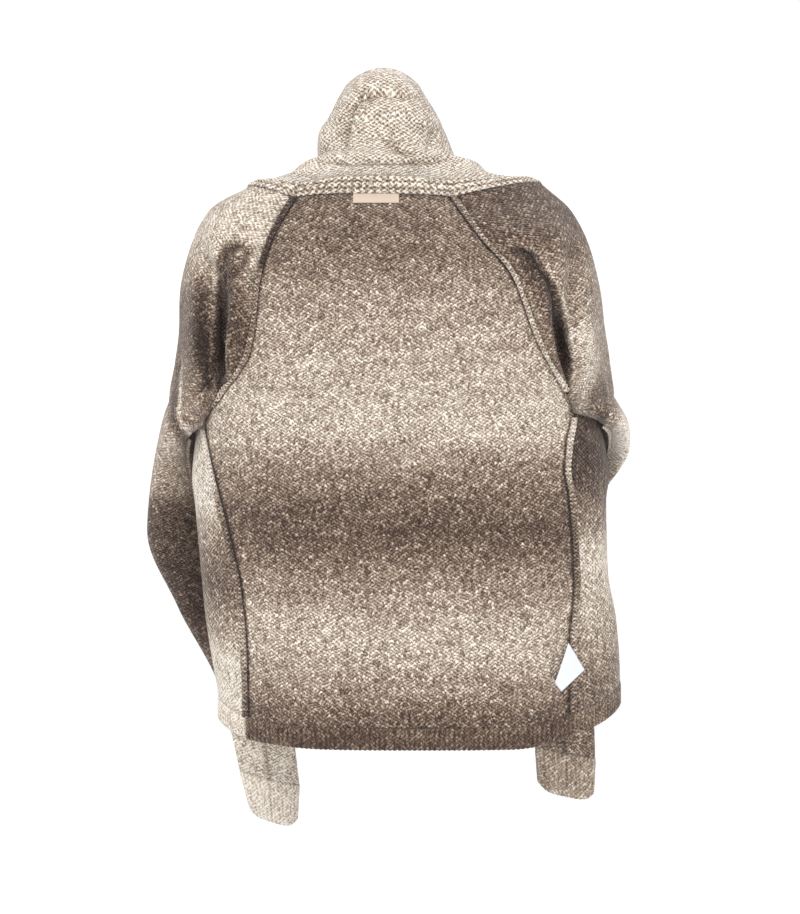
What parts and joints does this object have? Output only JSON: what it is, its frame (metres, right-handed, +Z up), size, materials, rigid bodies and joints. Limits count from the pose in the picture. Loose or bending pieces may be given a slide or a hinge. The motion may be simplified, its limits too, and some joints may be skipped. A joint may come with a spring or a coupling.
{
  "type": "cardigan",
  "caption": "Raglan cardigan in chunky wool, worn inside out: hollow knitted shell with tall standing collar, hanging sleeves and raised seam allowances.",
  "frame": {"origin": "middle of the neck opening at the height of the back neckline, where a form holds the cardigan", "axes": "+Z up, +Y the way the wearer faces, +X the wearer's right, so the view of the back looks along +Y"},
  "size_m": [0.5888, 0.3035, 0.9362],
  "materials": {
    "body_knit": "reverse stitch in space-dyed wool, dark brown to beige bands",
    "sleeve_knit": "reverse stitch in space-dyed wool, dark brown to beige bands",
    "chunky_knit": "heavier beige-grey yarn",
    "rib_knit": "one by one rib, dark brown",
    "seam_knit": "rolled seam allowance",
    "neck_tape": "woven cream-pink tape",
    "care_tape": "folded white satin tape"
  },
  "bodies": {
    "root": {"back_panel": "body_knit", "care_label": "care_tape", "collar": "chunky_knit", "collar_base_band": "chunky_knit", "cuff_rib_left": "rib_knit", "cuff_rib_right": "rib_knit", "front_band_left": "chunky_knit", "front_band_right": "chunky_knit", "front_left_panel": "body_knit", "front_right_panel": "body_knit", "hem_rib_back": "rib_knit", "hem_rib_front_left": "rib_knit", "hem_rib_front_right": "rib_knit", "neck_label": "neck_tape", "raglan_seam_back_left": "seam_knit", "raglan_seam_back_right": "seam_knit", "raglan_seam_front_left": "seam_knit", "raglan_seam_front_right": "seam_knit", "side_seam_left": "seam_knit", "side_seam_right": "seam_knit", "sleeve_left": "sleeve_knit", "sleeve_right": "sleeve_knit", "sleeve_seam_left": "seam_knit", "sleeve_seam_right": "seam_knit"}
  },
  "joints": []
}
